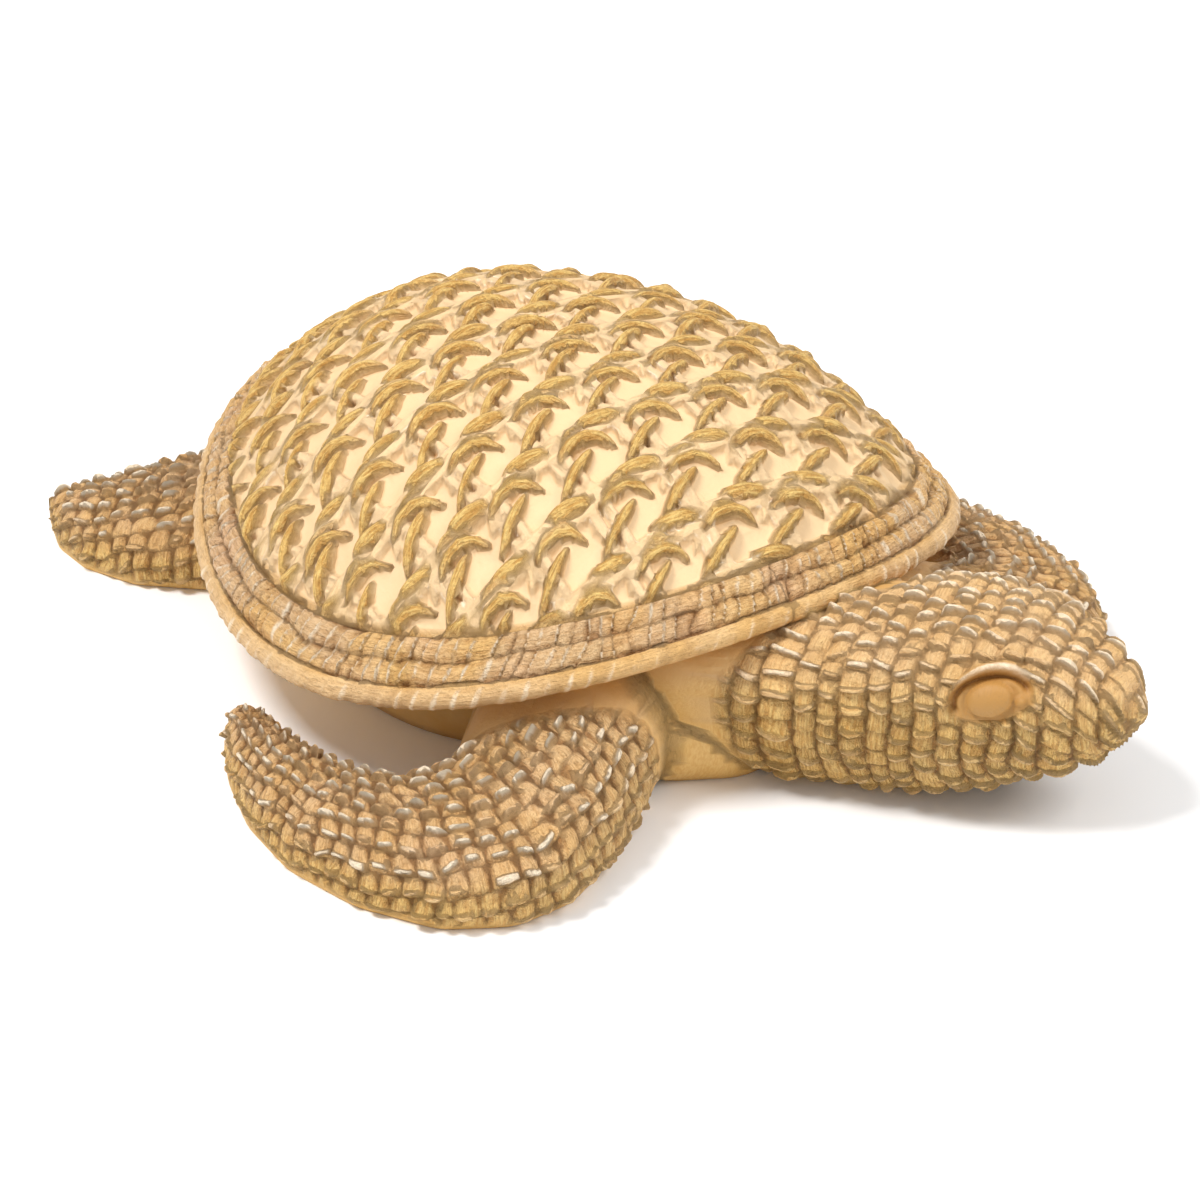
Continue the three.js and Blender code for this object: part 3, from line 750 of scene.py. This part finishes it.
def oval_rings(stations, rings, sides, smoothing, power):
    """Ovals along a path; a power of the half widths changes evenly between stations."""
    stations = np.array(stations, float)
    stations[:, 3:] **= power
    path, places = even_path(stations, rings + 1, smoothing)
    path[:, 3:] = np.maximum(path[:, 3:], 0) ** (1 / power)
    path, places = path[:-1], places[:-1]
    heading = np.arctan2(np.gradient(path[:, 1]), np.gradient(path[:, 0]))[:, None]
    c, s = squared_circle(sides)
    sideways, upward = c * path[:, 3:4], s * np.where(s > 0, path[:, 4:5], path[:, 5:6])
    base = np.stack([
        path[:, 0:1] - sideways * np.sin(heading), path[:, 1:2] + sideways * np.cos(heading),
        path[:, 2:3] + upward], axis=2)
    return base, places, path


def head_skin():
    """Columns by length of path, bundles by girth down from the ridge, then eyes and neck."""
    ridge = HEAD_SIDES // 4
    base, places, path = oval_rings(HEAD_STATIONS, HEAD_RINGS, HEAD_SIDES, 0.028, HEAD_POWER)
    girth, whole = girths(base)
    down = np.abs(girth - girth[:, ridge:ridge + 1])
    down = np.minimum(down, whole - down)
    sway = 1.9 * (speckle(base, 8.0, 3) - 0.5)
    across = places[:, None] + sway + np.zeros_like(down)
    along = down + 1.8 * (speckle(base, 6.0, 4) - 0.5) + 1.6
    left = np.arange(HEAD_SIDES)[None, :] < ridge
    column = np.floor(across / HEAD_COLUMN)
    side = across / HEAD_COLUMN - column - 0.5
    count = along / HEAD_PITCH + 0.5 * (column % 2) + 0.25 * scatter(column, column, 6)
    row = np.floor(count)
    height, wash, gap, gold, on_bar = cloth_cell(
        side, count - row, column, row + 50 * left, 0.46, 1)
    lumps = 0.5 * (speckle(base, 1.1, 6) - 0.5)
    tip = smooth_step(0, 7, places[-1] - places)[:, None]
    height = (height + lumps) * (0.3 + 0.7 * tip)
    # The third value is the eye's painted shade, in its crease and round the ball.
    eye, patch, crease, lid = eye_relief(base)
    height = height * (1 - patch) + eye * patch
    offset = base[..., 1] - path[:, 1:2]
    near_shell = smooth_step(1.16, 1.05, share_at(base[..., 0], base[..., 1]))
    # The hollow beside the neck under the shell's edge is painted dark as well as sunk: painted
    # shade.
    hollow = smooth_step(-1, 5, offset) * near_shell
    height = height * (1 - hollow) - NECK_HOLLOW * hollow
    open_cloth = (1 - patch) * (1 - hollow)
    # Painted light: the upper part of the head gets more cream, fewer streaks and less brown in
    # its gaps, and the lower part more brown, as a lit top and a shaded underside; the brown in
    # the gaps is otherwise brown wash.
    head_top_light = smooth_step(-4, 6, base[..., 2] - path[:, 2:3])
    gap_brown_and_shade = (0.8 - 0.4 * head_top_light) * gap * open_cloth
    marks = {"wash": 0.6 * wash * open_cloth + 0.5 * lid * patch,
             "gold": 0.25 * gold * open_cloth,
             "dark": gap_brown_and_shade + np.maximum(crease, 0.8) * patch + 0.55 * hollow,
             "bare": np.maximum(np.maximum(patch, hollow), 0.35 * head_top_light),
             "rose": 0.4 * open_cloth,
             "cream": (0.3 * head_top_light + 0.5 * wash) * open_cloth}
    grain = cloth_grain(across, along, on_bar, column, row)
    end = np.array(HEAD_STATIONS[-1][:3]) + (0.3, 0.1, 0)
    return limb_skin("head", path[0, :3], base, end, height, marks, grain)


def chest_skin():
    """A plain filling under the neck, bare resin all over."""
    base, _, path = oval_rings(CHEST_STATIONS, 60, 160, 0.03, 2.0)
    plain = np.zeros(base.shape[:2])
    marks = {"wash": plain, "rose": plain, "gold": plain + 0.2, "dark": plain + 0.25,
             "bare": plain + 1}
    return limb_skin("chest", path[0, :3], base, CHEST_STATIONS[-1][:3], plain, marks, base)


head, chest = head_skin(), chest_skin()

# %% [markdown]
# A flipper is ruled between a leading and a trailing edge, with a rounded top and a flat
# sole. The same stations serve both sides; the left ones are mirrored and, at the front,
# shifted a little, because the turtle isn't quite even. Its cloth lies in rows that follow
# the bend of the blade, and the rows draw closer together towards the tip. An outline
# could be extruded and rounded off, but then no rows would follow the bend.

# %% Flippers
# leading x, y, trailing x, y, top
FRONT_STATIONS = [
    (62, 14, 24, 26, -5), (72, 28, 34, 38, -5), (81.5, 41.5, 42, 47, -8), (87.5, 55, 47, 53, -11),
    (87, 67, 48.5, 58, -13.5), (79.5, 78, 46, 62.5, -15.5), (65, 85.5, 40, 65.5, -17),
    (48, 88.5, 31, 67.5, -18.5), (32, 86.5, 22, 68, -19.5), (18, 81.5, 13, 67.5, -20.5),
    (8, 76, 6.5, 67.5, -22), (2.5, 71, 2.5, 71, -26)]
REAR_STATIONS = [
    (-20, 24, -44, 2, -10), (-40, 48, -69, 16, -12.5), (-52, 58.5, -77, 30, -16.5),
    (-64, 62.5, -79.5, 40, -18.5), (-74, 62, -82, 48, -20.5), (-81.5, 59, -84.5, 53, -23),
    (-86, 57, -86, 57, -26)]
# at the root and at the tip
ROW_PITCH, CELL_LENGTH = (4.6, 3.5), (4.7, 3.8)
BELOW_GROUND, WIDEST_AT = 4, 0.45


def rows_of_cloth(path, from_crest, crest, salt):
    """Cell places on a blade: the row by girth, and along each row by that row's length."""
    travel = np.linspace(0, 1, len(path))[:, None]
    pitch = ROW_PITCH[0] + (ROW_PITCH[1] - ROW_PITCH[0]) * travel
    length = CELL_LENGTH[0] + (CELL_LENGTH[1] - CELL_LENGTH[0]) * travel
    chord = path[:, 0:2] - path[:, 2:4]
    width = np.maximum(np.linalg.norm(chord, axis=1, keepdims=True), 1e-6)
    girth = from_crest / pitch
    row = np.floor(girth)
    lowest, highest = int(row.min()), int(row.max())
    offset = np.clip((np.arange(lowest, highest + 1) + 0.5) * pitch, -width / 2, width / 2)
    lines = crest[:, None, :2] + offset[..., None] * (chord / width)[:, None, :]
    steps = np.linalg.norm(np.diff(lines, axis=0), axis=2)
    counted = np.vstack([np.zeros((1, lines.shape[1])), np.cumsum(steps / length[1:], axis=0)])
    count = np.take_along_axis(counted, (row - lowest).astype(int), axis=1)
    return row, girth - row, count + scatter(row, row, salt) * 3, pitch, length


def flipper_skin(name, stations, side, shift, rings, sides, salt):
    """Squared half ovals from trailing to leading edge at each place, dressed in cloth."""
    path, places = even_path(stations, rings + 1, 0.025)
    tip = path[-1]
    path, places = path[:-1], places[:-1]
    c, s = squared_circle(sides)
    share = 0.5 + 0.5 * c
    bottom, top = GROUND - BELOW_GROUND, path[:, 4:5]
    middle = bottom + WIDEST_AT * (top - bottom)
    x = path[:, 2:3] + (path[:, 0:1] - path[:, 2:3]) * share + shift[0]
    y = path[:, 3:4] + (path[:, 1:2] - path[:, 3:4]) * share + shift[1]
    z = middle + s * np.where(s > 0, top - middle, middle - bottom)
    base = np.stack([x, y, z], axis=2)
    girth, whole = girths(base)
    crest = sides // 4
    from_crest = girth[:, crest:crest + 1] - girth
    from_crest = np.where(from_crest < -whole / 2, from_crest + whole, from_crest)
    warp = 2.2 * (speckle(base, 6.0, salt) - 0.5)
    row, part, count, pitch, length = rows_of_cloth(
        path, from_crest + warp, base[:, crest], salt)
    count = count + 0.5 * (speckle(base, 5.0, salt + 1) - 0.5)
    column = np.floor(count)
    height, wash, gap, gold, on_bar = cloth_cell(
        count - column - 0.5, part, row, column, 0.36, salt)
    height = height + 0.5 * (speckle(base, 1.1, salt + 2) - 0.5)
    fade = smooth_step(0, 6, places[-1] - places)[:, None]
    travel = np.linspace(0, 1, rings)[:, None]
    height = height * (0.35 + 0.65 * fade) * (1 - 0.25 * travel)
    root = smooth_step(0.45, 0.15, travel)
    marks = {"wash": 0.85 * wash, "dark": 0.8 * gap, "gold": 0.3 * gold,
             "rose": 0.7 - 0.3 * root, "cream": 0.4 * wash + 0.35 * root}
    grain = cloth_grain(count * length, (row + part) * pitch, on_bar, column, row)
    end = np.array([tip[0] + shift[0], (tip[1] + shift[1]) * side, tip[4]])
    start = base[0].mean(axis=0) * (1, side, 1)
    base[..., 1] *= side
    return limb_skin(name, start, base, end, height, marks, grain)


flippers = [
    flipper_skin("front_right", FRONT_STATIONS, -1, (0, 0), 330, 230, 21),
    flipper_skin("front_left", FRONT_STATIONS, 1, (-3.5, -3.5), 330, 230, 31),
    flipper_skin("rear_right", REAR_STATIONS, -1, (0, 0), 190, 200, 41),
    flipper_skin("rear_left", REAR_STATIONS, 1, (0, 0), 190, 200, 51),
]
print(len(flippers), "flippers")

# %% [markdown]
# The parts are joined into one closed skin, as the mould leaves them, and thinned where
# the surface is plain, so that the fine relief keeps its points. A voxel remesh would join
# them too, but it rounds off relief this fine. The union keeps every mark of its parts.

# %% One casting
MOST_TRIANGLES = 197000


def baked(piece):
    """Replaces a piece's mesh by the result of its modifiers."""
    graph = bpy.context.evaluated_depsgraph_get()
    fresh = bpy.data.meshes.new_from_object(piece.evaluated_get(graph))
    piece.modifiers.clear()
    old, piece.data = piece.data, fresh
    bpy.data.meshes.remove(old)


def join_parts(main, others):
    """Union of closed meshes: each other part is added by a boolean in turn."""
    for other in others:
        union = main.modifiers.new("join", "BOOLEAN")
        union.operation, union.solver, union.object = "UNION", "MANIFOLD", other
        baked(main)
        bpy.data.objects.remove(other)
    print("joined", len(main.data.vertices), "points")
    return main


def thin(piece, most):
    """Collapses the least needed edges until the mesh has at most that many triangles."""
    count = sum(len(p.vertices) - 2 for p in piece.data.polygons)
    if count > most:
        fewer = piece.modifiers.new("thin", "DECIMATE")
        fewer.ratio, fewer.use_collapse_triangulate = most / count, True
        baked(piece)
    print("from", count, "to", len(piece.data.polygons), "triangles")


turtle = join_parts(shell, [head, chest, *flippers])
turtle.name = "turtle"
thin(turtle, MOST_TRIANGLES)
turtle.data.polygons.foreach_set("use_smooth", np.ones(len(turtle.data.polygons), bool))

# %% [markdown]
# Paint. The resin is cream in the holes of the cane, golden on the straw and tan on the
# cloth, with a brown wash in the recesses that also carries painted shade, and a white dry-brush
# on the high stitches.
# Nodes could be linked by hand; a small helper lets their sums be written as sums.

# %% Shader helper
class Wire:
    """A node socket that can be added, multiplied and mixed like a number."""

    tree = None

    def __init__(self, socket):
        self.socket = socket

    @classmethod
    def node(cls, kind, settings=None, **inputs):
        """Makes a node, sets its settings first, then its inputs by name or number."""
        made = cls.tree.nodes.new(kind)
        for key, value in (settings or {}).items():
            setattr(made, key, value)
        for key, value in inputs.items():
            spot = int(key[1:]) if key[0] == "_" else key.replace("_", " ")
            cls.feed(made.inputs[spot], value)
        return made

    @classmethod
    def feed(cls, spot, value):
        """Links a wire to a socket, or writes a plain value into it."""
        if isinstance(value, Wire):
            cls.tree.links.new(value.socket, spot)
        else:
            spot.default_value = value

    @classmethod
    def math(cls, operation, first, second=0.0, clamp=False):
        """One math node over two numbers or wires."""
        settings = {"operation": operation, "use_clamp": clamp}
        made = cls.node("ShaderNodeMath", settings, _0=first, _1=second)
        return cls(made.outputs[0])

    def __add__(self, other):
        return Wire.math("ADD", self, other)

    def __sub__(self, other):
        return Wire.math("SUBTRACT", self, other)

    def __rsub__(self, other):
        return Wire.math("SUBTRACT", other, self)

    def __mul__(self, other):
        return Wire.math("MULTIPLY", self, other)

    __radd__ = __add__
    __rmul__ = __mul__

    def clamp(self):
        """The same number kept between 0 and 1."""
        return Wire.math("ADD", self, 0.0, clamp=True)

    def between(self, low, high):
        """0 at low, 1 at high, soft between, whichever is larger."""
        settings = {"interpolation_type": "SMOOTHSTEP"}
        made = Wire.node("ShaderNodeMapRange", settings, _0=self, _1=low, _2=high)
        return Wire(made.outputs[0])


def mark(name):
    """A painted mark of the mesh as a number."""
    return Wire(Wire.node("ShaderNodeAttribute", {"attribute_name": name}).outputs["Fac"])


def noise(place, scale, detail, roughness=0.5):
    """Cloudy noise from 0 to 1 over a place."""
    made = Wire.node("ShaderNodeTexNoise", None, Vector=place, Scale=scale, Detail=detail,
                     Roughness=roughness)
    return Wire(made.outputs["Fac"])


def mix(share, low, high):
    """A colour between two colours."""
    made = Wire.node("ShaderNodeMix", {"data_type": "RGBA"}, Factor=share, A=low, B=high)
    return Wire(made.outputs["Result"])


def colour(red, green, blue):
    """A screen colour, each part from 11 to 255, as linear light by the sRGB curve."""
    return (*(((v / 255 + 0.055) / 1.055) ** 2.4 for v in (red, green, blue)), 1.0)


print("a middle tan in linear light", [round(v, 3) for v in colour(206, 164, 110)])

# %% [markdown]
# The paint is laid on in the order a painter works: a warm body colour, brown wash that
# settles in the recesses, with painted shade in the same brown, then white dragged over the high
# stitches with a dry brush.
# Fine streaks follow the stored direction of the straw, in colour and as a faint bump.
# A painted picture would need the skin unwrapped; marks on the points need no unwrapping.

# %% Painted resin
GOLDEN_TAN, PALE_TAN = colour(232, 184, 106), colour(246, 206, 138)
STRAW_SHADE, STRAW_LIGHT = colour(226, 172, 84), colour(250, 212, 130)
CREAM, ROSE, WHITEWASH = colour(226, 194, 150), colour(234, 186, 146), colour(255, 236, 206)
STREAK, CRUMB, BROWN_WASH_AND_SHADE = colour(180, 124, 54), colour(150, 100, 44), colour(136, 82, 18)
# along the fibres noise is stretched, and across them it is squeezed
FIBRE_STRETCH = (0.3, 2.8, 1.0)


def painted_resin():
    """Body, straw, cream and rose by their marks, then streaks, brown wash with painted shade,
    and white.
    """
    made = bpy.data.materials.new("painted_resin")
    made.use_nodes = True
    Wire.tree = made.node_tree
    Wire.tree.nodes.clear()
    place = Wire(Wire.node("ShaderNodeTexCoord").outputs["Object"])
    run = Wire(Wire.node("ShaderNodeAttribute", {"attribute_name": "grain"}).outputs["Vector"])
    drawn = Wire.node("ShaderNodeVectorMath", {"operation": "MULTIPLY"}, _0=run, _1=FIBRE_STRETCH)
    fibre = noise(Wire(drawn.outputs[0]), 1.0, 3.0, 0.65)
    blotch, fine = noise(place, 90.0, 3.0), noise(place, 1000.0, 4.0, 0.65)
    wash, gold, dark, cream, bare, rose = (mark(label) for label in MARKS)
    rough_cloth = 1 - bare
    body = mix(blotch.between(0.35, 0.65), GOLDEN_TAN, PALE_TAN)
    straw = mix(fibre.between(0.32, 0.68), STRAW_SHADE, STRAW_LIGHT)
    base = mix((gold * 1.1).clamp(), body, straw)
    base = mix(cream.clamp() * 0.95, base, CREAM)
    base = mix((rose * (blotch * 1.2)).clamp(), base, ROSE)
    base = mix(rough_cloth * fibre.between(0.58, 0.38) * 0.4, base, STREAK)
    base = mix(fine.between(0.47, 0.36) * rough_cloth * 0.3, base, CRUMB)
    # The dark mark paints brown wash in the recesses and painted shade under parts, both in the
    # same brown.
    base = mix((dark * (fibre * 0.5 + 0.7)).clamp() * 0.9, base, BROWN_WASH_AND_SHADE)
    base = mix((wash * (fine * 0.9 + 0.5)).between(0.15, 0.65) * 0.9, base, WHITEWASH)
    height = (fibre * 1.3 + fine * 1.5) * rough_cloth + fine * 0.2
    bump = Wire.node("ShaderNodeBump", None, Height=height, Strength=0.9, Distance=0.001)
    shader = Wire.node("ShaderNodeBsdfPrincipled", None, Base_Color=base,
                       Roughness=fine * 0.2 + 0.5, Normal=Wire(bump.outputs[0]))
    Wire.node("ShaderNodeOutputMaterial", None, Surface=Wire(shader.outputs[0]))
    return made


turtle.data.materials.clear()
turtle.data.materials.append(painted_resin())
print("one paint for the whole casting")

# %% [markdown]
# The setting is a plain pale floor under soft studio light, like the white page of the
# photo. Most of the light is an even pale sky. A lamp nearly overhead draws the relief,
# and a wider, weaker one from the turtle's left front keeps its shadows open.

# %% Floor and lights
FLOOR_HALF, FLOOR_GREY, SKY_STRENGTH = 3.0, 0.93, 0.62
LOOK_AT = (0, 0, 0.02)


def floor_piece():
    """A wide pale square under the turtle."""
    mesh = bpy.data.meshes.new("floor")
    signs = ((-1, -1), (1, -1), (1, 1), (-1, 1))
    corners = [(x * FLOOR_HALF, y * FLOOR_HALF, 0) for x, y in signs]
    mesh.from_pydata(corners, [], [(0, 1, 2, 3)])
    made = bpy.data.objects.new("floor", mesh)
    bpy.context.scene.collection.objects.link(made)
    paint = bpy.data.materials.new("floor_white")
    paint.use_nodes = True
    plain = paint.node_tree.nodes["Principled BSDF"]
    plain.inputs["Base Color"].default_value = (FLOOR_GREY, FLOOR_GREY, FLOOR_GREY, 1)
    plain.inputs["Roughness"].default_value = 0.9
    mesh.materials.append(paint)
    return made


def lamp(name, place, size, power):
    """A square soft light that looks at the turtle."""
    data = bpy.data.lights.new(name, "AREA")
    data.size, data.energy = size, power
    made = bpy.data.objects.new(name, data)
    made.location = place
    made.rotation_mode = "QUATERNION"
    made.rotation_quaternion = (Vector(LOOK_AT) - Vector(place)).to_track_quat("-Z", "Y")
    bpy.context.scene.collection.objects.link(made)


floor = floor_piece()
lamp("key", (-0.1, -0.5, 1.0), 0.3, 10)
lamp("fill", (0.7, 0.5, 0.9), 0.6, 7)
world = bpy.data.worlds.new("studio")
world.use_nodes = True
sky = world.node_tree.nodes["Background"]
sky.inputs["Color"].default_value = (1, 1, 1, 1)
sky.inputs["Strength"].default_value = SKY_STRENGTH
bpy.context.scene.world = world
bpy.context.scene.view_settings.view_transform = "Standard"
print("two lamps and a pale sky")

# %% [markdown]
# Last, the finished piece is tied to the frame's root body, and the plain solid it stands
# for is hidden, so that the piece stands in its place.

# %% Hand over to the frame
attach(turtle, "root")
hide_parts("turtle_casting")
